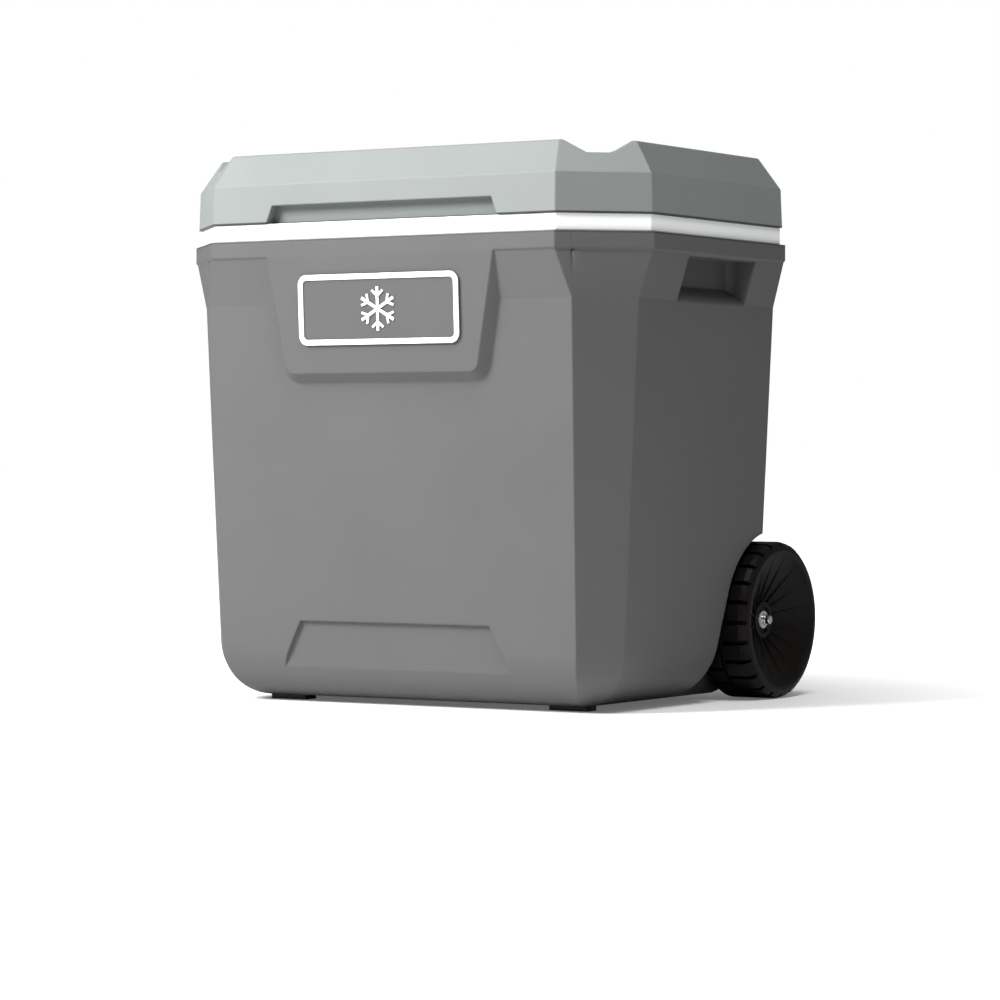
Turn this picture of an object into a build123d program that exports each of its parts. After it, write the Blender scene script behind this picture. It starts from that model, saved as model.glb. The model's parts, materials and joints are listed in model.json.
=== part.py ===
from build123d import *
import os
from math import atan, cos, degrees, radians, sin, tan

# A wheeled insulated cooler. Millimetres, +Z up, +X to the right, front towards -Y.
# The geometry is drawn about the lid's centre line and shifted in Y when it is written,
# so that the origin lies on the ground under the middle of the overall box.

# Lid and body plan sizes. Every plan outline is a rectangle with 45 degree corners.
LID_WIDTH = 550.0
LID_DEPTH = 410.0
LID_CORNER = 69.5
LIP_OUTSET = 3.0
BAND_INSET = 2.3
DRAFT = 0.048
CORNER_DRAFT = 0.043
FLARE_INSET_X = 15.9
FLARE_INSET_Y = 12.5
FLARE_CORNER_X = 43.3
FLARE_CORNER_Y = 55.5

# Heights above the ground.
BODY_BASE = 5.0
FLARE_LOW = 408.0
LIP_LOW = 454.5
LIP_TOP = 472.5
BAND_TOP = 490.0
LID_LOW = 490.5
LID_CREASE = 530.0
LID_TOP = 563.0
LID_BEVEL_INSET = 23.5
BOTTOM_RADIUS = 56.0

# Walls.
SHELL = 3.0
LINER = 2.5
TUB_WALL_X = 40.0
TUB_WALL_Y = 38.0
TUB_CORNER = 44.0
TUB_FLOOR = 45.0
TUB_FLOOR_RADIUS = 10.0

# Wheels, axle and wheel wells.
WHEEL_RADIUS = 82.0
WHEEL_WIDTH = 60.0
WHEEL_OUTER_X = 265.0
AXLE_RADIUS = 4.75
RUNNING_CLEARANCE = 0.05
AXLE_Y = 156.5
AXLE_Z = WHEEL_RADIUS
AXLE_HALF = 251.0
HUB_FACE_X = 243.0
WELL_RADIUS = 92.5
WELL_INNER_X = 199.0
WELL_SLOPE = 19.1
WELL_FOOT_RADIUS = 26.0
BUSH_RADIUS = 9.0
BUSH_LENGTH = 20.0

# Wheel tread and dish.
TREAD_BLOCKS = 24
TREAD_DEPTH = 5.0
SLOT_WIDTH = 4.6
OUTER_ROW = (234.0, 266.0)
INNER_ROW = (204.0, 230.0)
RIM_RADIUS = 70.0
HUB_RADIUS = 15.0
DISH_RIBS = 16
BACK_WEBS = 8

# Side hand grips, under the lip.
GRIP_Y = 6.0
GRIP_HALF = 70.0
GRIP_BACK_X = 243.0
GRIP_FLOOR_Z = 424.0
GRIP_EDGE_Z = 407.0

# Raised apron and shallow foot recess on the front.
APRON_LOW = 337.0
APRON_HALF_TOP = 136.0
APRON_HALF_LOW = 113.5
RECESS_TOP = 84.0
RECESS_HEIGHT = 66.0
RECESS_HALF_TOP = 113.0
RECESS_HALF_BOTTOM = 147.0
RECESS_DEPTH = 4.0

# Back of the body: handle housing, finger pocket and hinge pads.
HOUSING_HALF = 98.0
HOUSING_FOOT_Y = 120.0
HOUSING_BEVEL = 14.0
HOUSING_LOW = 44.0
POCKET_HALF = 50.0
POCKET_LOW = 400.0
POCKET_BACK_Y = 178.0
HINGE_PAD_LOW = 416.0
HINGE_PAD_HALF = 31.0

# Step in the tub floor over the wheels and axle.
STEP_FOOT_Y = 14.0
STEP_KNEE_Y = 46.0
STEP_KNEE_Z = 128.0
STEP_TOP_Y = 98.0
STEP_TOP_Z = 196.0

# Moulded front feet.
FOOT_X = 170.0
FOOT_Y = 112.0
FOOT_HALF_X = 22.0
FOOT_HALF_Y = 9.0

# Lid top: cup recesses, each drained by a notch through the nearest corner.
LID_SHELL = 3.0
LID_FLANGE = 16.0
TRAY_RIM = 11.0
TRAY_DEPTH = 9.0
CUP_RADIUS = 38.0
CUP_INSET = 62.0
CUP_DEPTH = 17.0
NOTCH_HALF_TOP = 36.0
NOTCH_HALF_FLOOR = 14.0
NOTCH_DEPTH = 13.0
SEAT_HALF_X = 116.0
SEAT_HALF_Y = 135.0
SEAT_RISE = 2.0
FINGER_HEIGHT = 18.0
FINGER_HALF_TOP = 131.7
FINGER_HALF_LOW = 139.0
FINGER_DEPTH = 12.0
PLUG_CLEARANCE = 4.0
PLUG_DEPTH = 14.0

# Badge on the apron.
BADGE_Z = 401.0
BADGE_WIDTH = 192.0
BADGE_HEIGHT = 71.0
BADGE_CORNER = 10.0
BADGE_FRAME = 5.5
BADGE_PLATE = 1.5
BADGE_RAISE = 1.2

# Fasteners.
SCREW_RADIUS = 2.0

# Lid hinges.
HINGE_X = 155.0
HINGE_WIDTH = 52.0
HINGE_Y = 214.5
HINGE_Z = 481.0
KNUCKLE_RADIUS = 5.5
HINGE_PIN_RADIUS = 2.0
LEAF = 3.0
BODY_LEAF = (424.0, 470.0)
LID_LEAF = (494.0, 526.0)
LEAF_SCREW_X = 15.0

# Tow handle.
TUBE_X = 70.0
TUBE_Y = 220.5
TUBE_RADIUS = 8.0
TUBE_LOW = 60.0
GRIP_LOW = 447.0
GRIP_HIGH = 469.0
GUIDE_LOW = 405.0
GUIDE_HIGH = 440.0
GUIDE_HALF = 13.0
GUIDE_FLANGE = 12.0
GUIDE_FLANGE_THICKNESS = 4.0

# Drain in the left wall.
DRAIN_Y = -80.0
DRAIN_Z = 65.0
DRAIN_SEAT_X = -241.0
DRAIN_SEAT_RADIUS = 24.0
DRAIN_INNER_X = -212.0
DRAIN_TUBE_RADIUS = 11.0
DRAIN_FLANGE_RADIUS = 18.0
DRAIN_BORE_RADIUS = 7.5
CAP_RADIUS = 16.0
CAP_RIBS = 18

LID_HALF_X = LID_WIDTH / 2
LID_HALF_Y = LID_DEPTH / 2
LIP_HALF_X = LID_HALF_X + LIP_OUTSET
LIP_HALF_Y = LID_HALF_Y + LIP_OUTSET
LIP_CORNER = LID_CORNER + LIP_OUTSET * 0.6
WALL_HALF_X = LIP_HALF_X - FLARE_INSET_X
WALL_HALF_Y = LIP_HALF_Y - FLARE_INSET_Y
DRAFT_ANGLE = degrees(atan(DRAFT))

# The badge frame reaches furthest to the front and the wheels furthest to the back.
FRONT_REACH = LIP_HALF_Y - DRAFT * (LIP_LOW - BADGE_Z) + BADGE_HEIGHT / 2 * sin(radians(DRAFT_ANGLE))
FRONT_REACH += (BADGE_PLATE + BADGE_RAISE) * cos(radians(DRAFT_ANGLE))
SHIFT_Y = (FRONT_REACH - AXLE_Y - WHEEL_RADIUS) / 2


def octagon(z, half_x, half_y, corner, corner_y=None):
    """Corner points, anticlockwise from above, of a rectangle with cut corners. The cut takes
    the length corner off the front edge and corner_y, or the same, off the side edge."""
    flat_x = half_x - corner
    flat_y = half_y - (corner_y or corner)
    quarter = [(half_x, -flat_y), (half_x, flat_y), (flat_x, half_y), (-flat_x, half_y)]
    points = quarter + [(-x, -y) for x, y in quarter]
    return [Vector(x, y, z) for x, y in points]


def side_face(a, b, c, d):
    """Face through four corners, ruled between its level edges where they aren't parallel."""
    if abs((b - a).cross(d - a).dot(c - a)) < 1e-6:
        return Face(Wire.make_polygon([a, b, c, d]))
    return Face.make_surface_from_curves(Edge.make_line(a, b), Edge.make_line(d, c))


def stacked(*levels):
    """Closed flat-sided solid through octagons given as (z, half_x, half_y, corner, corner_y)."""
    rings = [octagon(*level) for level in levels]
    faces = [Face(Wire.make_polygon(rings[0])), Face(Wire.make_polygon(rings[-1]))]
    for low, high in zip(rings, rings[1:]):
        for i in range(8):
            j = (i + 1) % 8
            faces.append(side_face(low[i], low[j], high[j], high[i]))
    return Solid(Shell(faces))


def block(x, y, z):
    """Box from three (low, high) pairs."""
    size = [high - low for low, high in (x, y, z)]
    middle = [(high + low) / 2 for low, high in (x, y, z)]
    return Pos(*middle) * Box(*size)


def rod(x, y, z, radius):
    """Cylinder along X, from the low to the high value of x."""
    return Pos((x[0] + x[1]) / 2, y, z) * Rot(0, 90, 0) * Cylinder(radius, x[1] - x[0])


def post(x, y, z, radius):
    """Cylinder along Z, from the low to the high value of z."""
    return Pos(x, y, (z[0] + z[1]) / 2) * Cylinder(radius, z[1] - z[0])


def mirrored(shape):
    """Left-hand copy of a right-hand shape."""
    return mirror(shape, about=Plane.YZ)


def wall_level(z, inset=0.0):
    """Outer wall outline at height z, moved inwards by inset."""
    drop = FLARE_LOW - z
    half_x = WALL_HALF_X - DRAFT * drop - inset
    half_y = WALL_HALF_Y - DRAFT * drop - inset
    share = 1 - (CORNER_DRAFT * drop + 0.6 * inset) / FLARE_CORNER_Y
    return (z, half_x, half_y, FLARE_CORNER_X * share, FLARE_CORNER_Y * share)


def round_base(solid, radius):
    """Rounds the lowest edges of a solid."""
    return fillet(solid.edges().group_by(Axis.Z)[0], radius)


def slanted_plane(side, z):
    """Plane on the drafted front (-1) or back (+1) wall, flush with the lip at its lower edge."""
    y = side * (LIP_HALF_Y - DRAFT * (LIP_LOW - z))
    normal = Vector(0, side * cos(radians(DRAFT_ANGLE)), -sin(radians(DRAFT_ANGLE)))
    return Plane(origin=(0, y, z), x_dir=(-side, 0, 0), z_dir=normal)


def raised_panel(side, top, bottom, half_top, half_bottom, corner, slope=45.0):
    """Panel standing out of the wall, flush with the lip, with sloping edges."""
    plane = slanted_plane(side, top)
    drop = top - bottom
    outline = Polygon(
        (-half_top, 0), (-half_bottom, -drop), (half_bottom, -drop), (half_top, 0), align=None
    )
    lower = outline.vertices().group_by(Axis.Y)[0]
    panel = extrude(plane * fillet(lower, corner), amount=-22, taper=-slope)
    return panel & block((-LIP_HALF_X, LIP_HALF_X), (-LIP_HALF_Y, LIP_HALF_Y), (0, LIP_TOP - 1))


# ---------------------------------------------------------------- wheel wells


def well_outline(grow):
    """Side view of the wheel well: an arch about the axle running into a sloping face
    that rounds under the body. grow widens it, for the wall around the well."""
    radius = WELL_RADIUS + grow
    slope = radians(WELL_SLOPE)
    along = Vector(sin(slope), cos(slope))
    touch = Vector(AXLE_Y - radius * cos(slope), AXLE_Z + radius * sin(slope))
    foot = touch - along * ((touch.Y - BODY_BASE) / cos(slope))
    setback = WELL_FOOT_RADIUS / tan((radians(90) + slope) / 2)
    start = foot + along * setback
    end = foot - Vector(setback, 0)
    centre = end + Vector(0, WELL_FOOT_RADIUS)
    bulge = centre + (foot - centre).normalized() * WELL_FOOT_RADIUS
    floor = BODY_BASE - 20
    path = [
        ThreePointArc(touch, (AXLE_Y, AXLE_Z + radius), (AXLE_Y + radius, AXLE_Z)),
        Line((AXLE_Y + radius, AXLE_Z), (AXLE_Y + radius, floor)),
        Line((AXLE_Y + radius, floor), (end.X, floor)),
        Line((end.X, floor), (end.X, end.Y)),
        ThreePointArc((end.X, end.Y), (bulge.X, bulge.Y), (start.X, start.Y)),
        Line((start.X, start.Y), (touch.X, touch.Y)),
    ]
    return make_face(path)


def wheel_well(grow=0.0):
    """Right-hand wheel well as a solid to cut away, open to the side, back and below."""
    plane = Plane(origin=(WELL_INNER_X - grow, 0, 0), x_dir=(0, 1, 0), z_dir=(1, 0, 0))
    return extrude(plane * well_outline(grow), amount=110)


# ---------------------------------------------------------------- body


def front_recess():
    """Shallow trapezoid pressed into the foot of the front wall."""
    drop = FLARE_LOW - RECESS_TOP
    y = -(WALL_HALF_Y - DRAFT * drop)
    tilt = radians(DRAFT_ANGLE)
    plane = Plane(origin=(0, y, RECESS_TOP), x_dir=(1, 0, 0), z_dir=(0, -cos(tilt), -sin(tilt)))
    outline = Polygon(
        (-RECESS_HALF_TOP, 0),
        (-RECESS_HALF_BOTTOM, -RECESS_HEIGHT),
        (RECESS_HALF_BOTTOM, -RECESS_HEIGHT),
        (RECESS_HALF_TOP, 0),
        align=None,
    )
    inward = Location((0, RECESS_DEPTH * cos(tilt), RECESS_DEPTH * sin(tilt)))
    return extrude(inward * (plane * outline), amount=RECESS_DEPTH + 12, taper=-20)


def side_grip():
    """Hand recess under the lip in the right wall, with a floor sloping outwards."""
    outline = Polygon(
        (WALL_HALF_X + 30, LIP_LOW - 2),
        (GRIP_BACK_X, LIP_LOW - 2),
        (GRIP_BACK_X, GRIP_FLOOR_Z),
        (WALL_HALF_X + 1, GRIP_EDGE_Z),
        (WALL_HALF_X + 30, GRIP_EDGE_Z),
        align=None,
    )
    plane = Plane(origin=(0, GRIP_Y, 0), x_dir=(1, 0, 0), z_dir=(0, -1, 0))
    pocket = extrude(plane * outline, amount=GRIP_HALF, both=True)
    inner = pocket.edges().filter_by(Axis.Z).sort_by(Axis.X)[:2]
    return fillet(inner, 9)


def rear_housing():
    """Upright box down the back wall that carries the handle guides."""
    outline = Polygon(
        (HOUSING_FOOT_Y, HOUSING_LOW),
        (LIP_HALF_Y - HOUSING_BEVEL, HOUSING_LOW),
        (LIP_HALF_Y, HOUSING_LOW + HOUSING_BEVEL),
        (LIP_HALF_Y, LIP_TOP - 1),
        (HOUSING_FOOT_Y, LIP_TOP - 1),
        align=None,
    )
    plane = Plane(origin=(0, 0, 0), x_dir=(0, 1, 0), z_dir=(1, 0, 0))
    housing = extrude(plane * outline, amount=HOUSING_HALF, both=True)
    return chamfer(housing.edges().filter_by(Axis.Z).group_by(Axis.Y)[-1], 6)


def handle_pocket():
    """Finger recess behind the stowed tow grip."""
    pocket = block((-POCKET_HALF, POCKET_HALF), (POCKET_BACK_Y, 260), (POCKET_LOW, LIP_LOW - 2))
    return fillet(pocket.edges().filter_by(Axis.Z).group_by(Axis.Y)[0], 8)


def body_outer():
    """Outer form of the body before the hollow is taken out."""
    walls = stacked(
        wall_level(BODY_BASE),
        wall_level(FLARE_LOW),
        (LIP_LOW, LIP_HALF_X - 1.5, LIP_HALF_Y - 1.5, LIP_CORNER - 0.9),
        (LIP_LOW + 1.5, LIP_HALF_X, LIP_HALF_Y, LIP_CORNER),
        (LIP_TOP, LIP_HALF_X, LIP_HALF_Y, LIP_CORNER),
    )
    body = round_base(walls, BOTTOM_RADIUS)
    body += raised_panel(-1, LIP_LOW + 2, APRON_LOW, APRON_HALF_TOP, APRON_HALF_LOW, 10)
    body += rear_housing()
    for side in (-1, 1):
        pad = raised_panel(1, LIP_LOW + 2, HINGE_PAD_LOW, HINGE_PAD_HALF, HINGE_PAD_HALF - 1, 5)
        body += Pos(side * HINGE_X, 0, 0) * pad
        body += block(
            (side * FOOT_X - FOOT_HALF_X, side * FOOT_X + FOOT_HALF_X),
            (-FOOT_Y - FOOT_HALF_Y, -FOOT_Y + FOOT_HALF_Y),
            (0, BODY_BASE + 20),
        )
    return body


def body_pockets():
    """Everything cut into the outside of the body."""
    cuts = [wheel_well(), side_grip()]
    cuts += [mirrored(cut) for cut in cuts]
    cuts += [front_recess(), handle_pocket()]
    cuts.append(rod((DRAIN_SEAT_X - 40, DRAIN_SEAT_X), DRAIN_Y, DRAIN_Z, DRAIN_SEAT_RADIUS))
    return cuts


def body_backing():
    """Solid material that the hollow leaves standing behind each outside pocket."""
    grip = block(
        (GRIP_BACK_X - SHELL, LIP_HALF_X),
        (GRIP_Y - GRIP_HALF - SHELL, GRIP_Y + GRIP_HALF + SHELL),
        (GRIP_EDGE_Z - 8, LIP_TOP),
    )
    solids = [wheel_well(SHELL), grip]
    solids += [mirrored(solid) for solid in solids]
    recess_y = WALL_HALF_Y - DRAFT * (FLARE_LOW - RECESS_TOP) - RECESS_DEPTH - SHELL
    solids.append(block((-150, 150), (-LIP_HALF_Y, -recess_y), (BODY_BASE, RECESS_TOP + SHELL + 2)))
    half = POCKET_HALF + SHELL
    solids.append(block((-half, half), (POCKET_BACK_Y - SHELL, LIP_HALF_Y), (POCKET_LOW - SHELL, LIP_TOP)))
    solids.append(rod((-WELL_INNER_X, WELL_INNER_X), AXLE_Y, AXLE_Z, AXLE_RADIUS + 7))
    for side in (-1, 1):
        ends = sorted((side * (WELL_INNER_X - BUSH_LENGTH - SHELL), side * WELL_INNER_X))
        solids.append(rod(ends, AXLE_Y, AXLE_Z, BUSH_RADIUS + SHELL))
    drain_end = (DRAIN_SEAT_X - 20, DRAIN_SEAT_X + SHELL)
    solids.append(rod(drain_end, DRAIN_Y, DRAIN_Z, DRAIN_SEAT_RADIUS + SHELL))
    return solids


def body_hollow():
    """Space inside the outer shell, filled by the foam and the tub."""
    hollow = round_base(
        stacked(wall_level(BODY_BASE + SHELL, SHELL), wall_level(LIP_TOP, SHELL)),
        BOTTOM_RADIUS - SHELL,
    )
    hollow += block(
        (-HOUSING_HALF + SHELL, HOUSING_HALF - SHELL),
        (HOUSING_FOOT_Y, LIP_HALF_Y - SHELL - 2),
        (HOUSING_LOW + 16, LIP_LOW - 8),
    )
    for solid in body_backing():
        hollow -= solid
    return hollow


def tub_form(grow=0.0):
    """Inside of the tub, grown outwards by grow. A full-width step clears wells and axle."""
    top = (BAND_TOP + 1, LID_HALF_X - TUB_WALL_X + grow, LID_HALF_Y - TUB_WALL_Y + grow, TUB_CORNER)
    shrink = DRAFT * (BAND_TOP - TUB_FLOOR)
    low = (TUB_FLOOR - grow, top[1] - shrink, top[2] - shrink, TUB_CORNER - 8)
    tub = fillet(stacked(low, top).edges().group_by(Axis.Z)[0], TUB_FLOOR_RADIUS + grow)
    step = Polygon(
        (STEP_FOOT_Y, TUB_FLOOR - 40),
        (STEP_FOOT_Y, TUB_FLOOR),
        (STEP_KNEE_Y, STEP_KNEE_Z),
        (STEP_TOP_Y, STEP_TOP_Z),
        (300, STEP_TOP_Z),
        (300, TUB_FLOOR - 40),
        align=None,
    )
    plane = Plane(origin=(0, grow, -grow), x_dir=(0, 1, 0), z_dir=(1, 0, 0))
    return tub - extrude(plane * step, amount=LID_WIDTH, both=True)


def band_form(grow=0.0, low=LIP_TOP, high=BAND_TOP):
    """White rim band between body and lid."""
    inset = BAND_INSET + grow
    return stacked(
        (low, LID_HALF_X - inset, LID_HALF_Y - inset, LID_CORNER - 0.6 * inset),
        (high, LID_HALF_X - inset, LID_HALF_Y - inset, LID_CORNER - 0.6 * inset),
    )


def make_body():
    """Outer shell, foam fill and white tub with its rim band."""
    hollow = body_hollow()
    tub_outer = tub_form(LINER) - block((-300, 300), (-300, 300), (BAND_TOP, BAND_TOP + 20))
    bore = rod((DRAIN_SEAT_X - 30, DRAIN_INNER_X + 20), DRAIN_Y, DRAIN_Z, DRAIN_TUBE_RADIUS)
    seat = rod((DRAIN_INNER_X - 12, DRAIN_INNER_X), DRAIN_Y, DRAIN_Z, 18)

    shell = body_outer()
    for cut in body_pockets():
        shell -= cut
    shell -= hollow
    shell -= rod((-WELL_INNER_X - 5, WELL_INNER_X + 5), AXLE_Y, AXLE_Z, AXLE_RADIUS + 1)
    for side in (-1, 1):
        ends = sorted((side * (WELL_INNER_X - BUSH_LENGTH), side * (WELL_INNER_X + 1)))
        shell -= rod(ends, AXLE_Y, AXLE_Z, BUSH_RADIUS)
    shell -= bore

    rim_hollow = band_form(SHELL, LIP_TOP, BAND_TOP - SHELL)
    drain_seat = seat & hollow
    foam = hollow + rim_hollow - tub_outer - drain_seat - bore
    tub = band_form() - rim_hollow + tub_outer - tub_form() + drain_seat - bore
    return {"body_shell": shell, "body_foam": foam, "body_liner": tub}


# ---------------------------------------------------------------- lid


def lid_level(z, inset):
    """Lid outline at height z, moved inwards from the widest outline."""
    return (z, LID_HALF_X - inset, LID_HALF_Y - inset, LID_CORNER - 0.6 * inset)


def lid_outer():
    """Upright band with a broad bevel above it."""
    lid = stacked(
        lid_level(LID_LOW, 0), lid_level(LID_CREASE, 1.5), lid_level(LID_TOP, LID_BEVEL_INSET)
    )
    rings = lid.edges().filter_by_position(Axis.Z, LID_TOP - 1, LID_TOP + 1)
    return fillet(rings, 4)


def finger_recess(grow=0.0):
    """Trapezoid under the front edge of the lid for the fingers."""
    top = LID_LOW + FINGER_HEIGHT + grow
    outline = Polygon(
        (-FINGER_HALF_LOW - grow, LID_LOW - 1),
        (FINGER_HALF_LOW + grow, LID_LOW - 1),
        (FINGER_HALF_TOP + grow, top),
        (-FINGER_HALF_TOP - grow, top),
        align=None,
    )
    plane = Plane(origin=(0, -LID_HALF_Y - 5, 0), x_dir=(1, 0, 0), z_dir=(0, -1, 0))
    return extrude(plane * outline, amount=-FINGER_DEPTH - 5 - grow)


def lid_tray(floor, rim):
    """Room above the sunken top of the lid, inside its rim. Its sides slope a little."""
    inset = LID_BEVEL_INSET + rim
    return stacked(lid_level(floor, inset + 3), lid_level(LID_TOP + 1, inset))


def corner_cup(grow=0.0):
    """Cup recess at the front right corner with its notch through the corner."""
    top_x = LID_HALF_X - LID_BEVEL_INSET
    top_y = LID_HALF_Y - LID_BEVEL_INSET
    corner = LID_CORNER - 0.6 * LID_BEVEL_INSET
    edge = Vector(top_x - corner / 2, -top_y + corner / 2)
    inward = Vector(-1, 1).normalized()
    cup = edge + inward * CUP_INSET
    round_cup = post(cup.X, cup.Y, (LID_TOP - CUP_DEPTH - grow, LID_TOP + 10), CUP_RADIUS + grow)
    floor = LID_TOP - NOTCH_DEPTH - grow
    rise = NOTCH_DEPTH + grow + 10
    slope = (NOTCH_HALF_TOP - NOTCH_HALF_FLOOR) / NOTCH_DEPTH
    half_floor = NOTCH_HALF_FLOOR + 0.5 * grow
    outline = Polygon(
        (-half_floor, floor),
        (half_floor, floor),
        (half_floor + slope * rise, floor + rise),
        (-half_floor - slope * rise, floor + rise),
        align=None,
    )
    plane = Plane(origin=(cup.X, cup.Y, 0), x_dir=(1, 1, 0), z_dir=(1, -1, 0))
    channel = extrude(plane * outline, amount=CUP_INSET + 60)
    return round_cup + channel


def four_corners(shape):
    """The front right shape and its copies at the other three corners."""
    right = [shape, mirror(shape, about=Plane.XZ)]
    return right + [mirrored(one) for one in right]


def lid_seat_block(side):
    """Flat pad on the back of the lid under a hinge leaf."""
    return block(
        (side * HINGE_X - HINGE_WIDTH / 2 - 2, side * HINGE_X + HINGE_WIDTH / 2 + 2),
        (LID_HALF_Y - 8, LID_HALF_Y),
        (LID_LOW + 1, LID_CREASE - 1),
    )


def make_lid():
    """Lid shell, foam fill and white inner panel with its plug."""
    inner = LID_SHELL
    tray_floor = LID_TOP - TRAY_DEPTH
    panel = stacked(lid_level(LID_LOW, LID_FLANGE), lid_level(LID_LOW + LINER, LID_FLANGE))
    hollow = stacked(
        lid_level(LID_LOW + LINER, inner),
        lid_level(LID_CREASE - 1.5, inner + 1.5),
        lid_level(LID_TOP - inner, LID_BEVEL_INSET + 2),
    )
    hollow -= finger_recess(LID_SHELL)
    hollow -= lid_tray(tray_floor - inner, TRAY_RIM - inner)
    for cup in four_corners(corner_cup(LID_SHELL)):
        hollow -= cup

    shell = lid_outer()
    for side in (-1, 1):
        shell += lid_seat_block(side)
    shell -= lid_tray(tray_floor, TRAY_RIM)
    seat = Pos(0, 0, tray_floor) * RectangleRounded(2 * SEAT_HALF_X, 2 * SEAT_HALF_Y, 24)
    shell += extrude(seat, amount=SEAT_RISE)
    for cup in four_corners(corner_cup()):
        shell -= cup
    shell -= finger_recess()
    shell -= hollow
    shell -= panel
    plug_x = LID_HALF_X - TUB_WALL_X - PLUG_CLEARANCE
    plug_y = LID_HALF_Y - TUB_WALL_Y - PLUG_CLEARANCE
    plug_low = BAND_TOP - PLUG_DEPTH
    plug = stacked(
        (plug_low, plug_x - 3, plug_y - 3, TUB_CORNER - 2),
        (LID_LOW + LINER, plug_x, plug_y, TUB_CORNER),
    )
    plug = fillet(plug.edges().group_by(Axis.Z)[0], 4)
    plug_room = stacked(
        (plug_low + LINER, plug_x - 3 - LINER, plug_y - 3 - LINER, TUB_CORNER - 3),
        (LID_LOW + LINER, plug_x - LINER, plug_y - LINER, TUB_CORNER - 1),
    )
    plug_room = fillet(plug_room.edges().group_by(Axis.Z)[0], 3)
    liner = panel + plug - plug_room
    foam = hollow - panel - plug + plug_room
    return {"lid_shell": shell, "lid_foam": foam, "lid_liner": liner}


# ---------------------------------------------------------------- hinges


def screw(x, y, z, axis, length=12.0, head=4.0):
    """Pan-head screw: head outside, shank going in against the given axis."""
    body = Pos(0, 0, -length / 2) * Cylinder(SCREW_RADIUS, length)
    cap = Pos(0, 0, 1) * Cylinder(head, 2)
    cap = fillet(cap.edges().group_by(Axis.Z)[-1], 0.8)
    slot = Pos(0, 0, 1.7) * (Box(5, 0.9, 0.7) + Box(0.9, 5, 0.7))
    plane = Plane(origin=(x, y, z), z_dir=axis)
    return plane * (body + cap - slot)


def knuckle(centre, half):
    """Barrel piece of a hinge, along X about the hinge axis."""
    return rod((centre - half, centre + half), HINGE_Y, HINGE_Z, KNUCKLE_RADIUS)


def leaf_web(points, centre, half):
    """Bent link between a leaf plate and its knuckle, given in side view."""
    plane = Plane(origin=(centre, 0, 0), x_dir=(0, 1, 0), z_dir=(1, 0, 0))
    return extrude(plane * Polygon(*points, align=None), amount=half, both=True)


def make_hinge(x, name):
    """Body leaf, lid leaf, pin and screws of one hinge centred at x."""
    half = HINGE_WIDTH / 2
    third = HINGE_WIDTH / 3
    gap = 0.4
    nodes = {}

    body_face = LIP_HALF_Y
    body_leaf = block((x - half, x + half), (body_face, body_face + LEAF), BODY_LEAF)
    for side in (-1, 1):
        centre = x + side * third
        reach = third / 2 - gap / 2
        web = [
            (body_face, 464),
            (body_face + LEAF, 462),
            (HINGE_Y + KNUCKLE_RADIUS - 1, HINGE_Z - 3),
            (HINGE_Y - KNUCKLE_RADIUS, HINGE_Z),
            (body_face, 474),
        ]
        body_leaf += leaf_web(web, centre, reach) + knuckle(centre, reach)
    body_leaf -= rod((x - half, x + half), HINGE_Y, HINGE_Z, HINGE_PIN_RADIUS)

    lid_face = LID_HALF_Y
    lid_leaf = block((x - half, x + half), (lid_face, lid_face + LEAF), LID_LEAF)
    web = [
        (lid_face, 500),
        (lid_face + LEAF, 502),
        (HINGE_Y + KNUCKLE_RADIUS - 1, HINGE_Z + 3),
        (HINGE_Y - KNUCKLE_RADIUS, HINGE_Z + 1),
        (lid_face + 1.5, 492.5),
        (lid_face, 494),
    ]
    reach = third / 2 - gap / 2
    lid_leaf += leaf_web(web, x, reach) + knuckle(x, reach)
    bore = HINGE_PIN_RADIUS + RUNNING_CLEARANCE
    lid_leaf -= rod((x - half, x + half), HINGE_Y, HINGE_Z, bore)

    pin = rod((x - half - 1, x + half + 1), HINGE_Y, HINGE_Z, HINGE_PIN_RADIUS)
    for side in (-1, 1):
        end = x + side * (half + 1)
        pin += rod(sorted((end, end + side * 1.2)), HINGE_Y, HINGE_Z, HINGE_PIN_RADIUS + 1.2)
    for label, leaf_face, z in (("body", body_face, 441), ("lid", lid_face, 514)):
        for number, side in ((1, -1), (2, 1)):
            one = screw(x + side * LEAF_SCREW_X, leaf_face + LEAF, z, (0, 1, 0))
            nodes[f"hinge_{label}_screw_{name}_{number}"] = one
            body_leaf -= one
            lid_leaf -= one
    nodes[f"hinge_body_leaf_{name}"] = body_leaf
    nodes[f"hinge_lid_leaf_{name}"] = lid_leaf
    nodes[f"hinge_pin_{name}"] = pin
    return nodes


# ---------------------------------------------------------------- wheels and axle


def wheel_slots():
    """Gaps between the tread blocks of the right wheel: two staggered rows."""
    pitch = 360 / TREAD_BLOCKS
    slots = []
    for i in range(TREAD_BLOCKS):
        for row, phase in ((OUTER_ROW, 0.0), (INNER_ROW, 0.5)):
            slot = Pos((row[0] + row[1]) / 2, 0, WHEEL_RADIUS) * Box(
                row[1] - row[0], SLOT_WIDTH, 2 * TREAD_DEPTH
            )
            slots.append(Rot((i + phase) * pitch, 0, 0) * slot)
    return slots


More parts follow.
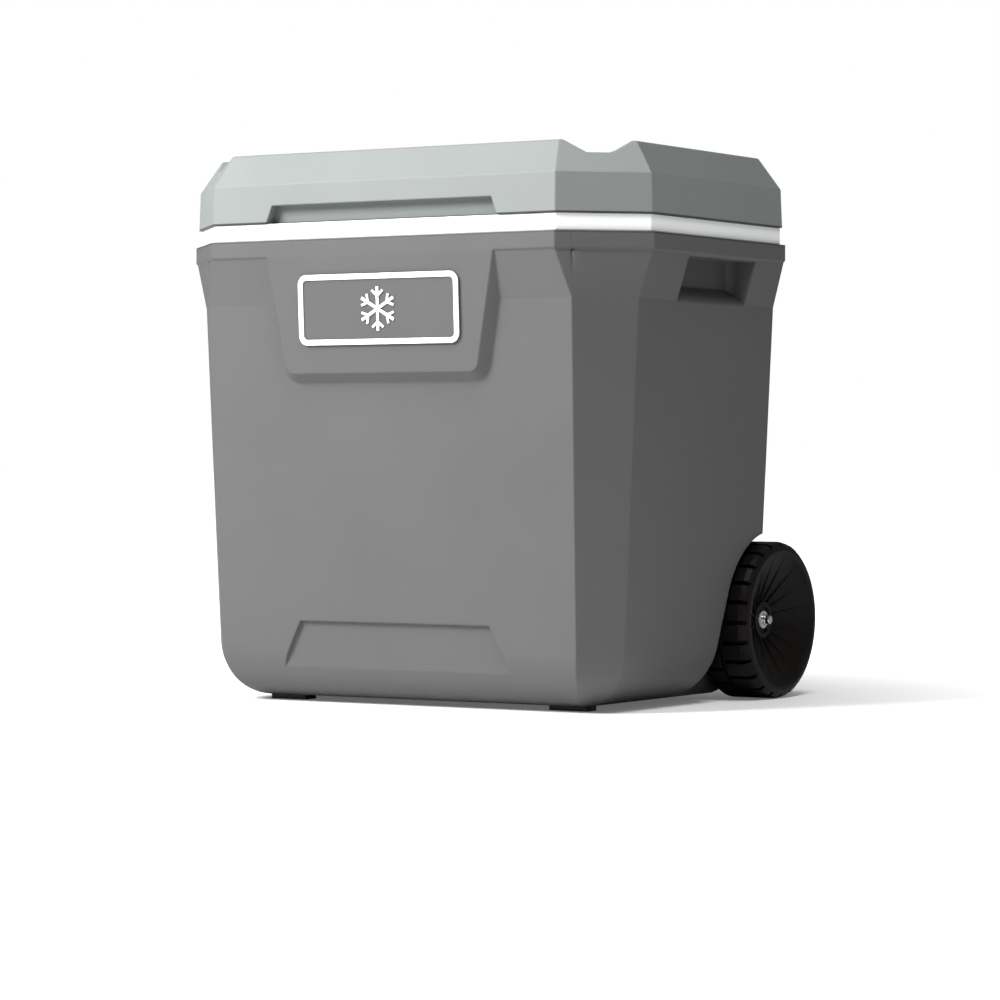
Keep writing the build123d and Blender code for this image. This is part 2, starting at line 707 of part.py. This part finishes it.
def make_wheel():
    """One-piece moulded wheel at the right-hand side."""
    outer = WHEEL_OUTER_X
    inner = WHEEL_OUTER_X - WHEEL_WIDTH
    bore = AXLE_RADIUS + RUNNING_CLEARANCE
    groove = WHEEL_RADIUS - TREAD_DEPTH + 1
    profile = Polygon(
        (inner + 3, bore),
        (inner + 3, HUB_RADIUS),
        (outer - 33, HUB_RADIUS),
        (outer - 12, 64),
        (outer - 12, RIM_RADIUS),
        (inner, RIM_RADIUS),
        (inner, 78),
        (inner + 6, WHEEL_RADIUS),
        (INNER_ROW[1], WHEEL_RADIUS),
        (INNER_ROW[1] + 0.5, groove),
        (OUTER_ROW[0] - 0.5, groove),
        (OUTER_ROW[0], WHEEL_RADIUS),
        (outer - 9, WHEEL_RADIUS),
        (outer - 4, WHEEL_RADIUS - 1.5),
        (outer - 1, WHEEL_RADIUS - 5),
        (outer, WHEEL_RADIUS - 9),
        (outer - 0.5, 69),
        (outer - 3, 66.5),
        (HUB_FACE_X - 3, 22.5),
        (HUB_FACE_X - 3, 20),
        (HUB_FACE_X, 19),
        (HUB_FACE_X, 14),
        (HUB_FACE_X - 2, 13),
        (HUB_FACE_X - 2, bore),
        align=None,
    )
    side_view = Plane(origin=(0, 0, 0), x_dir=(1, 0, 0), z_dir=(0, -1, 0))
    wheel = revolve(side_view * profile, Axis.X)
    rib = Polygon(
        (HUB_FACE_X - 5, 21), (outer - 5, 66.5), (outer - 2.5, 67.5), (HUB_FACE_X - 1.2, 21), align=None
    )
    web = Polygon(
        (inner + 6, HUB_RADIUS - 1),
        (outer - 35, HUB_RADIUS - 1),
        (outer - 14, 63),
        (outer - 14, RIM_RADIUS + 1),
        (inner + 3, RIM_RADIUS + 1),
        align=None,
    )
    for i in range(DISH_RIBS):
        turn = Rot((i + 0.5) * 360 / DISH_RIBS, 0, 0)
        wheel += turn * extrude(side_view * rib, amount=0.9, both=True)
    for i in range(BACK_WEBS):
        wheel += Rot(i * 360 / BACK_WEBS, 0, 0) * extrude(side_view * web, amount=1.2, both=True)
    for slot in wheel_slots():
        wheel -= slot
    return Pos(0, AXLE_Y, AXLE_Z) * wheel


def make_running_gear():
    """Wheels, axle, bushes, washers and push-on caps."""
    nodes = {}
    shaft = rod((-AXLE_HALF, AXLE_HALF), AXLE_Y, AXLE_Z, AXLE_RADIUS)
    nodes["axle"] = chamfer(shaft.edges().filter_by(GeomType.CIRCLE), 1)
    bush = rod((WELL_INNER_X - BUSH_LENGTH, WELL_INNER_X), AXLE_Y, AXLE_Z, BUSH_RADIUS)
    bush += rod((WELL_INNER_X, WELL_INNER_X + 3), AXLE_Y, AXLE_Z, BUSH_RADIUS + 4)
    bush -= rod((100, 300), AXLE_Y, AXLE_Z, AXLE_RADIUS)
    washer_low = HUB_FACE_X - 2 + 0.3
    washer = rod((washer_low, washer_low + 1.5), AXLE_Y, AXLE_Z, 9)
    washer -= rod((100, 300), AXLE_Y, AXLE_Z, AXLE_RADIUS)
    nut_low = washer_low + 1.5
    nut = rod((nut_low, nut_low + 1), AXLE_Y, AXLE_Z, 7.4)
    nut += rod((nut_low + 1, nut_low + 3.5), AXLE_Y, AXLE_Z, 6)
    nut = fillet(nut.edges().group_by(Axis.X)[-1], 0.8)
    nut -= rod((100, 300), AXLE_Y, AXLE_Z, AXLE_RADIUS)
    wheel = make_wheel()
    right = {"wheel": wheel, "axle_bush": bush, "axle_washer": washer, "push_nut": nut}
    for name, shape in right.items():
        nodes[f"{name}_right"] = shape
        nodes[f"{name}_left"] = mirrored(shape)
    return nodes


# ---------------------------------------------------------------- tow handle


def make_handle():
    """Two tubes with a grip, guided by blocks on the back housing."""
    nodes = {}
    middle = (GRIP_LOW + GRIP_HIGH) / 2
    grip = block((-TUBE_X - 15, TUBE_X + 15), (TUBE_Y - 10, TUBE_Y + 10), (GRIP_LOW, GRIP_HIGH))
    grip = fillet(grip.edges().filter_by(Axis.X), 7)
    grip = fillet(grip.edges().group_by(Axis.X)[0] + grip.edges().group_by(Axis.X)[-1], 2)
    for label, side in (("left", -1), ("right", 1)):
        x = side * TUBE_X
        tube = post(x, TUBE_Y, (TUBE_LOW, middle), TUBE_RADIUS)
        tube -= post(x, TUBE_Y, (TUBE_LOW - 1, middle - 3), TUBE_RADIUS - 1.2)
        grip -= post(x, TUBE_Y, (GRIP_LOW - 1, middle), TUBE_RADIUS)
        stop = post(x, TUBE_Y, (TUBE_LOW - 3, TUBE_LOW), TUBE_RADIUS + 1.8)
        stop += post(x, TUBE_Y, (TUBE_LOW, TUBE_LOW + 12), TUBE_RADIUS + 1.8)
        stop -= post(x, TUBE_Y, (TUBE_LOW, TUBE_LOW + 13), TUBE_RADIUS)
        nodes[f"handle_tube_{label}"] = tube
        nodes[f"handle_stop_{label}"] = stop

        for place, low, high, bore in (
            ("upper", GUIDE_LOW, GUIDE_HIGH, TUBE_RADIUS + 0.4),
            ("lower", TUBE_LOW - 6, TUBE_LOW + 22, TUBE_RADIUS + 2.4),
        ):
            guide = block((x - GUIDE_HALF, x + GUIDE_HALF), (LIP_HALF_Y, TUBE_Y + 10.5), (low, high))
            guide = fillet(guide.edges().filter_by(Axis.Z).group_by(Axis.Y)[-1], 5)
            floor = low - 1 if place == "upper" else TUBE_LOW - 3.5
            guide -= post(x, TUBE_Y, (floor, high + 1), bore)
            flange_x = sorted((x + side * GUIDE_HALF, x + side * (GUIDE_HALF + GUIDE_FLANGE)))
            flange_face = LIP_HALF_Y + GUIDE_FLANGE_THICKNESS
            guide += block(flange_x, (LIP_HALF_Y, flange_face), (low, high))
            screw_x = x + side * (GUIDE_HALF + GUIDE_FLANGE / 2)
            for number, z in ((1, low + 7), (2, high - 7)):
                one = screw(screw_x, flange_face, z, (0, 1, 0), head=3.5)
                nodes[f"guide_screw_{place}_{label}_{number}"] = one
                guide -= one
            nodes[f"handle_guide_{place}_{label}"] = guide
    nodes["handle_grip"] = grip
    return nodes


# ---------------------------------------------------------------- drain


def make_drain():
    """Through-wall drain spout with gasket, inside nut and pull-off cap."""
    seat, inside = DRAIN_SEAT_X, DRAIN_INNER_X

    def disc(low, high, radius):
        return rod((low, high), DRAIN_Y, DRAIN_Z, radius)

    bore = disc(seat - 40, inside + 40, DRAIN_BORE_RADIUS)
    spout = disc(seat - 5, seat - 1.5, DRAIN_FLANGE_RADIUS) + disc(seat - 16, seat - 5, 12)
    spout += disc(seat - 5, inside + 8, DRAIN_TUBE_RADIUS)
    gasket = disc(seat - 1.5, seat, DRAIN_FLANGE_RADIUS)
    gasket -= disc(seat - 3, seat + 2, DRAIN_TUBE_RADIUS)
    nut = disc(inside, inside + 6, 14.5) - disc(inside - 1, inside + 9, DRAIN_TUBE_RADIUS)
    nut = chamfer(nut.edges().group_by(Axis.X)[-1].sort_by(Edge.length)[-1:], 1.5)
    cap = disc(seat - 20, seat - 5.4, CAP_RADIUS)
    cap = fillet(cap.edges().group_by(Axis.X)[0], 2.5)
    cap -= disc(seat - 16.4, seat - 4, 12.4)
    for i in range(CAP_RIBS):
        notch = Pos(seat - 12, DRAIN_Y, DRAIN_Z) * Rot(i * 360 / CAP_RIBS, 0, 0)
        cap -= notch * (Pos(0, 0, CAP_RADIUS + 0.6) * Rot(0, 90, 0) * Cylinder(1.4, 20))
    return {
        "drain_spout": spout - bore,
        "drain_gasket": gasket,
        "drain_nut": nut,
        "drain_cap": cap,
    }


# ---------------------------------------------------------------- badge


def make_badge():
    """Plain plate on the apron with a raised frame and a snow crystal emblem."""
    plane = slanted_plane(-1, BADGE_Z)
    outer = RectangleRounded(BADGE_WIDTH, BADGE_HEIGHT, BADGE_CORNER)
    edge = 2 * BADGE_FRAME
    inner = RectangleRounded(BADGE_WIDTH - edge, BADGE_HEIGHT - edge, BADGE_CORNER - BADGE_FRAME)
    raised = plane.offset(BADGE_PLATE)
    arms = Sketch()
    for i in range(6):
        turn = Rot(0, 0, i * 60)
        arms += turn * (Pos(0, 11) * Rectangle(3, 22))
        for side in (-1, 1):
            arms += turn * (Pos(0, 13) * Rot(0, 0, side * 50) * (Pos(0, 4) * Rectangle(2.4, 9)))
    return {
        "badge_plate": extrude(plane * outer, amount=BADGE_PLATE),
        "badge_frame": extrude(raised * (outer - inner), amount=BADGE_RAISE),
        "badge_emblem": extrude(raised * arms, amount=BADGE_RAISE),
    }


def main():
    os.makedirs("parts", exist_ok=True)
    nodes = {}
    nodes.update(make_body())
    nodes.update(make_lid())
    nodes.update(make_hinge(-HINGE_X, "left"))
    nodes.update(make_hinge(HINGE_X, "right"))
    nodes.update(make_running_gear())
    nodes.update(make_handle())
    nodes.update(make_drain())
    nodes.update(make_badge())
    for name, shape in nodes.items():
        if "screw" in name:
            target = "lid_shell" if "_lid_" in name else "body_shell"
            nodes[target] -= shape
            nodes[target.replace("shell", "foam")] -= shape
    for name, shape in nodes.items():
        export_step(Pos(0, SHIFT_Y, 0) * shape, f"parts/{name}.step")


if __name__ == "__main__":
    main()
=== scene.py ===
import json
from math import cos, radians, sin

import bpy
from mathutils import Matrix, Vector


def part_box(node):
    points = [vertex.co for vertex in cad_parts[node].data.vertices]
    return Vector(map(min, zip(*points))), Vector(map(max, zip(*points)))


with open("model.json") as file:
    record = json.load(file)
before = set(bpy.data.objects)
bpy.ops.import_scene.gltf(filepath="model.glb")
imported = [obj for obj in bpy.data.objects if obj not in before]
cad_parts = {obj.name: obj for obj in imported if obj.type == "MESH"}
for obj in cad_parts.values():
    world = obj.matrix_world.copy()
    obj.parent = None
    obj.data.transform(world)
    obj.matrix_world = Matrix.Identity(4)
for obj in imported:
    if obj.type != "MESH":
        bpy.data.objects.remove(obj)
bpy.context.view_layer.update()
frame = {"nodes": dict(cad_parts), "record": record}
NODES = frame["nodes"]

# The camera: lens and sensor in millimetres, azimuth from the front towards the right side, slight
# downward pitch. Angles are in degrees, places in metres.
CAMERA_LENS = 131.3
CAMERA_SENSOR = 36.0
CAMERA_FAR = 60.0
CAMERA_AZIMUTH = 32.04
CAMERA_PITCH = 0.715
CAMERA_PLACE = (2.0369, -3.2461, 0.2552)

# Base colours, linear.
BODY_COLOUR = (0.088, 0.088, 0.088)
LID_COLOUR = (0.180, 0.193, 0.189)
WHITE_COLOUR = (0.86, 0.87, 0.87)
# Painted shade: a darker white for the inside of the tub and the lid's underside.
SHADED_INNER_WHITE = (0.36, 0.37, 0.37)
BLACK_COLOUR = (0.0052, 0.0042, 0.0036)
FOAM_COLOUR = (0.80, 0.72, 0.50)
HINGE_COLOUR = (0.35, 0.37, 0.365)
NYLON_COLOUR = (0.6, 0.6, 0.56)
COATING_COLOUR = (0.02, 0.02, 0.02)
HANDLE_COLOUR = (0.025, 0.025, 0.025)
DRAIN_COLOUR = (0.05, 0.05, 0.05)
STEEL_COLOUR = (0.5, 0.5, 0.5)
ZINC_COLOUR = (0.75, 0.75, 0.74)

# At the lip's corners the foam reaches the top. A thin skin of it there has the body's grey.
SKIN = 0.0005

# Painted shadow: the thin dark line along the joints between lid, rim and body stands in for the shadow in
# the gaps there.
SEAM_SHADOW_COLOUR = (0.045, 0.045, 0.045)
SEAM_SHADOW_HALF = 0.0010

# How far above a place another surface still darkens it with painted shade, and how soft a change of colour
# with height is.
PAINTED_SHADE_REACH = 0.03
FADE_HEIGHT = 0.01

# Studio: how bright the surroundings are for the object, and the white floor. Seen by the camera, the floor
# glows faintly under the object and fully from FLOOR_WHITE outwards.
SURROUND = 0.17
FLOOR_HALF = 40.0
FLOOR_GLOW = 0.12
FLOOR_DARK = 0.30
FLOOR_WHITE = 0.85

# Soft boxes aimed at LIGHT_TARGET: degrees, metres and watts.
LIGHT_TARGET = (0.0, 0.0, 0.3)
KEY_LIGHT = {"azimuth": -32, "elevation": 34, "distance": 3.0, "width": 1.4, "power": 200}
TOP_LIGHT = {"azimuth": 54, "elevation": 58, "distance": 2.5, "width": 1.0, "power": 40}


# ------------------------------------------------------------------ node helpers


class Nodes:
    """Short hand for building one material's node tree."""

    def __init__(self, name):
        self.material = bpy.data.materials.new(name)
        self.material.use_nodes = True
        self.tree = self.material.node_tree
        self.shader = self.tree.nodes["Principled BSDF"]
        places = self.add("ShaderNodeTexCoord")
        self.coords = places.outputs["Object"]
        self.facing = places.outputs["Normal"]

    def add(self, kind, inputs=None, **settings):
        node = self.tree.nodes.new(kind)
        for key, value in settings.items():
            setattr(node, key, value)
        for key, value in (inputs or {}).items():
            if isinstance(value, bpy.types.NodeSocket):
                self.tree.links.new(value, node.inputs[key])
            else:
                node.inputs[key].default_value = value
        return node

    def link(self, source, name):
        self.tree.links.new(source, self.shader.inputs[name])

    def set(self, values):
        for name, value in values.items():
            self.shader.inputs[name].default_value = value

    def stretched(self, scale):
        """Object coordinates scaled by a different amount along each axis."""
        return self.add("ShaderNodeMapping", {"Vector": self.coords, "Scale": scale}).outputs[0]

    def noise(self, scale, detail=4.0, roughness=0.55, vector=None):
        values = {"Vector": vector or self.coords, "Scale": scale, "Detail": detail}
        values["Roughness"] = roughness
        return self.add("ShaderNodeTexNoise", values).outputs["Fac"]

    def cells(self, scale):
        values = {"Vector": self.coords, "Scale": scale}
        return self.add("ShaderNodeTexVoronoi", values).outputs["Distance"]

    def height_of(self, vector):
        return self.add("ShaderNodeSeparateXYZ", {"Vector": vector}).outputs["Z"]

    def ramp(self, value, low, high, out_low=0.0, out_high=1.0):
        values = {"Value": value, "From Min": low, "From Max": high}
        values.update({"To Min": out_low, "To Max": out_high})
        return self.add("ShaderNodeMapRange", values).outputs[0]

    def math(self, operation, a, b):
        return self.add("ShaderNodeMath", {0: a, 1: b}, operation=operation).outputs[0]

    def mix(self, factor, a, b):
        node = self.add("ShaderNodeMix", data_type="RGBA")
        for name, value in (("Factor", factor), ("A", a), ("B", b)):
            sockets = [s for s in node.inputs if s.name == name and s.enabled]
            if isinstance(value, bpy.types.NodeSocket):
                self.tree.links.new(value, sockets[0])
            else:
                sockets[0].default_value = value
        return next(s for s in node.outputs if s.enabled)

    def bump(self, height, strength, distance, normal=None):
        values = {"Height": height, "Strength": strength, "Distance": distance}
        if normal is not None:
            values["Normal"] = normal
        return self.add("ShaderNodeBump", values).outputs[0]

    def soft_edges(self, radius):
        return self.add("ShaderNodeBevel", {"Radius": radius}, samples=6).outputs[0]


def rgba(colour, factor=1.0):
    return (*(min(1.0, c * factor) for c in colour), 1.0)


# ------------------------------------------------------------------ materials


def mottled(m, colour, variation, scuffs):
    """The plastic's colour with cloudy patches, fine specks and a few paler rubs.

    Returns the colour, and the cloud and rub masks that the gloss follows.
    """
    cloud = m.noise(7.0, 5.0)
    fine = m.noise(120.0, 3.0)
    tone = m.mix(m.ramp(cloud, 0.3, 0.7), rgba(colour, 1 - variation), rgba(colour, 1 + variation))
    speck = m.mix(m.ramp(fine, 0.35, 0.75), rgba(colour, 1 - variation / 2), rgba(colour, 1.0))
    rub = m.noise(26.0, 8.0, 0.7, m.stretched((1.0, 1.0, 3.5)))
    rub_mask = m.ramp(rub, 0.62, 0.8)
    rubbed = m.math("MULTIPLY", rub_mask, scuffs)
    return m.mix(rubbed, m.mix(0.35, tone, speck), rgba(colour, 1.5)), cloud, rub_mask


def seam_shadow_line(m, height):
    """Mask of a thin line of painted shadow round the object at this height, on upright walls only."""
    away = m.math("ABSOLUTE", m.math("SUBTRACT", m.height_of(m.coords), height), 0.0)
    near = m.ramp(away, SEAM_SHADOW_HALF, SEAM_SHADOW_HALF * 2, 1.0, 0.0)
    tilt = m.math("ABSOLUTE", m.height_of(m.facing), 0.0)
    return m.math("MULTIPLY", near, m.ramp(tilt, 0.4, 0.7, 1.0, 0.0))


def moulded_plastic(name, colour, roughness=0.46, grain=900.0, grain_depth=0.00012, edge=0.0012,
                    variation=0.05, scuffs=0.10, specular=0.16, below=None, seam_shadow=None):
    """Satin moulded plastic: fine pebbled grain, cloudy tone, faint rubs, painted shade in crevices and
    softened edges.

    below = (height, colour): under that height the plastic has the other colour.
    seam = the height of a joint line, where upright walls carry a thin dark line of painted shadow.
    """
    m = Nodes(name)
    colour_out, cloud, rub_mask = mottled(m, colour, variation, scuffs)
    if below:
        height, low_colour = below
        upper = m.ramp(m.height_of(m.coords), height - FADE_HEIGHT, height)
        lower = m.mix(cloud, rgba(low_colour, 0.95), rgba(low_colour, 1.05))
        colour_out = m.mix(upper, lower, colour_out)
    # Painted shadow: a thin dark line along the joint at the seam height.
    if seam_shadow:
        colour_out = m.mix(seam_shadow_line(m, seam_shadow), colour_out, rgba(SEAM_SHADOW_COLOUR))
    # Painted shade: where other surfaces are near, in crevices and under overhangs, the colour darkens to
    # 0.7 of the plain colour.
    painted_shade = m.add("ShaderNodeAmbientOcclusion", {"Distance": PAINTED_SHADE_REACH}, samples=6).outputs["AO"]
    m.link(m.mix(m.ramp(painted_shade, 0.2, 0.9), rgba(colour, 0.7), colour_out), "Base Color")
    gloss = m.math("ADD", cloud, rub_mask)
    m.link(m.ramp(gloss, 0.3, 1.5, roughness - 0.05, roughness + 0.14), "Roughness")
    m.set({"Specular IOR Level": specular})
    normal = m.soft_edges(edge) if edge else None
    pebble = m.math("ADD", m.cells(grain), m.noise(grain * 1.7, 2.0))
    normal = m.bump(pebble, 0.35, grain_depth, normal)
    waves = m.noise(9.0, 2.0)
    m.link(m.bump(waves, 0.10, 0.004, normal), "Normal")
    return m.material


def metal(name, colour):
    """Bright metal with a fine drawn grain across the object."""
    m = Nodes(name)
    m.link(m.mix(m.noise(300.0), rgba(colour, 0.85), rgba(colour, 1.1)), "Base Color")
    m.link(m.ramp(m.noise(500.0), 0.3, 0.7, 0.22, 0.38), "Roughness")
    m.set({"Metallic": 1.0})
    drawn = m.noise(900.0, 2.0, vector=m.stretched((0.05, 1.0, 1.0)))
    m.link(m.bump(drawn, 0.2, 0.0001), "Normal")
    return m.material


def build_materials():
    """One material for each slot of the record, and one for the lid's liner, which is all inside."""
    rim_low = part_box("body_shell")[1][2]
    return {
        # The seam heights place painted shadow lines along the joints of body, rim and lid.
        "body_grey": moulded_plastic("body_plastic", BODY_COLOUR, edge=0.003, seam_shadow=rim_low),
        "lid_grey": moulded_plastic("lid_plastic", LID_COLOUR, roughness=0.52, edge=0.0022,
                                    seam_shadow=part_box("lid_shell")[0][2]),
        # Painted shade: below the rim the white plastic, the inside of the tub, takes the darker inner
        # white.
        "white_plastic": moulded_plastic("white_plastic", WHITE_COLOUR, roughness=0.33, variation=0.02,
                                         scuffs=0.0, grain_depth=0.00005, below=(rim_low, SHADED_INNER_WHITE),
                                         seam_shadow=rim_low),
        # Painted shade: the lid's liner, all inside, takes the darker inner white.
        "lid_liner": moulded_plastic("lid_liner_plastic", SHADED_INNER_WHITE, roughness=0.36, scuffs=0.0,
                                     grain_depth=0.00005),
        "wheel_black": moulded_plastic("wheel_plastic", BLACK_COLOUR, roughness=0.46, variation=0.3,
                                       specular=0.12),
        "foam": moulded_plastic("foam", BODY_COLOUR, roughness=0.8, grain=400.0, grain_depth=0.0006,
                                below=(rim_low - SKIN, FOAM_COLOUR)),
        "hinge_grey": moulded_plastic("hinge_plastic", HINGE_COLOUR, edge=0.0006),
        "nylon": moulded_plastic("nylon", NYLON_COLOUR, edge=0.0004),
        "tube_black": moulded_plastic("powder_coat", COATING_COLOUR, roughness=0.3, edge=0.0),
        "handle_black": moulded_plastic("handle_plastic", HANDLE_COLOUR, roughness=0.5, edge=0.0008),
        "gasket": moulded_plastic("gasket_rubber", COATING_COLOUR, roughness=0.7, edge=0.0003),
        "drain_plastic": moulded_plastic("drain_plastic", DRAIN_COLOUR, edge=0.0006),
        "badge_dark": moulded_plastic("badge_plate", BODY_COLOUR, roughness=0.4, edge=0.0004),
        "badge_white": moulded_plastic("badge_paint", WHITE_COLOUR, roughness=0.3, edge=0.0004, scuffs=0.0),
        "steel": metal("steel", STEEL_COLOUR),
        "zinc": metal("zinc", ZINC_COLOUR),
    }


def dress_nodes(materials):
    """Gives every CAD node its own material, if there is one, or else that of its slot."""
    for row in frame["record"]["subparts"]:
        node = NODES[row["node"]]
        look = materials.get(row["node"], materials[row["material_slot"]])
        node.data.materials.clear()
        node.data.materials.append(look)


# ------------------------------------------------------------------ floor, light, camera


def make_floor():
    """Wide white floor that fades into the white surroundings."""
    mesh = bpy.data.meshes.new("floor")
    corners = [(x * FLOOR_HALF, y * FLOOR_HALF, 0) for x, y in ((-1, -1), (1, -1), (1, 1), (-1, 1))]
    mesh.from_pydata(corners, [], [(0, 1, 2, 3)])
    floor = bpy.data.objects.new("floor", mesh)
    bpy.context.scene.collection.objects.link(floor)
    m = Nodes("floor")
    m.link(m.mix(m.noise(2.0), rgba((0.93, 0.93, 0.93)), rgba((0.96, 0.96, 0.96))), "Base Color")
    m.set({"Roughness": 0.5, "Specular IOR Level": 0.1, "Emission Color": (1, 1, 1, 1)})
    distance = m.add("ShaderNodeVectorMath", {0: m.coords}, operation="LENGTH").outputs["Value"]
    glow = m.ramp(distance, FLOOR_DARK, FLOOR_WHITE, FLOOR_GLOW, 1.0)
    seen = m.add("ShaderNodeLightPath").outputs["Is Camera Ray"]
    m.link(m.math("MULTIPLY", glow, seen), "Emission Strength")
    floor.data.materials.append(m.material)


def area_light(name, azimuth, elevation, distance, width, power):
    """Soft box aimed at the object. Azimuth 0 is in front, 90 at the right side."""
    data = bpy.data.lights.new(name, "AREA")
    data.shape = "RECTANGLE"
    data.size = width
    data.size_y = width
    data.energy = power
    lamp = bpy.data.objects.new(name, data)
    a, e = radians(azimuth), radians(elevation)
    back = Vector((sin(a) * cos(e), -cos(a) * cos(e), sin(e)))
    lamp.location = Vector(LIGHT_TARGET) + back * distance
    lamp.rotation_mode = "QUATERNION"
    lamp.rotation_quaternion = back.to_track_quat("Z", "Y")
    bpy.context.scene.collection.objects.link(lamp)


def make_light():
    """Soft boxes, and surroundings that are white to the camera and dim to the object."""
    world = bpy.data.worlds.new("studio")
    world.use_nodes = True
    tree = world.node_tree
    background = tree.nodes["Background"]
    background.inputs["Color"].default_value = (1, 1, 1, 1)
    rays = tree.nodes.new("ShaderNodeLightPath")
    strength = tree.nodes.new("ShaderNodeMapRange")
    strength.inputs["To Min"].default_value = SURROUND
    tree.links.new(rays.outputs["Is Camera Ray"], strength.inputs["Value"])
    tree.links.new(strength.outputs[0], background.inputs["Strength"])
    bpy.context.scene.world = world
    area_light("key", **KEY_LIGHT)
    area_light("top", **TOP_LIGHT)


def make_camera():
    """Level camera, apart from the pitch, without depth of field."""
    data = bpy.data.cameras.new("camera")
    data.lens = CAMERA_LENS
    data.sensor_width = CAMERA_SENSOR
    data.clip_end = CAMERA_FAR
    camera = bpy.data.objects.new("camera", data)
    a, p = radians(CAMERA_AZIMUTH), radians(CAMERA_PITCH)
    view = Vector((-sin(a) * cos(p), cos(a) * cos(p), -sin(p)))
    right = Vector((cos(a), sin(a), 0.0))
    up = right.cross(view)
    turn = Matrix((right, up, -view)).transposed()
    camera.matrix_world = Matrix.Translation(CAMERA_PLACE) @ turn.to_4x4()
    bpy.context.scene.collection.objects.link(camera)
    bpy.context.scene.camera = camera


bpy.context.scene.view_settings.view_transform = "Standard"
dress_nodes(build_materials())
make_floor()
make_light()
make_camera()
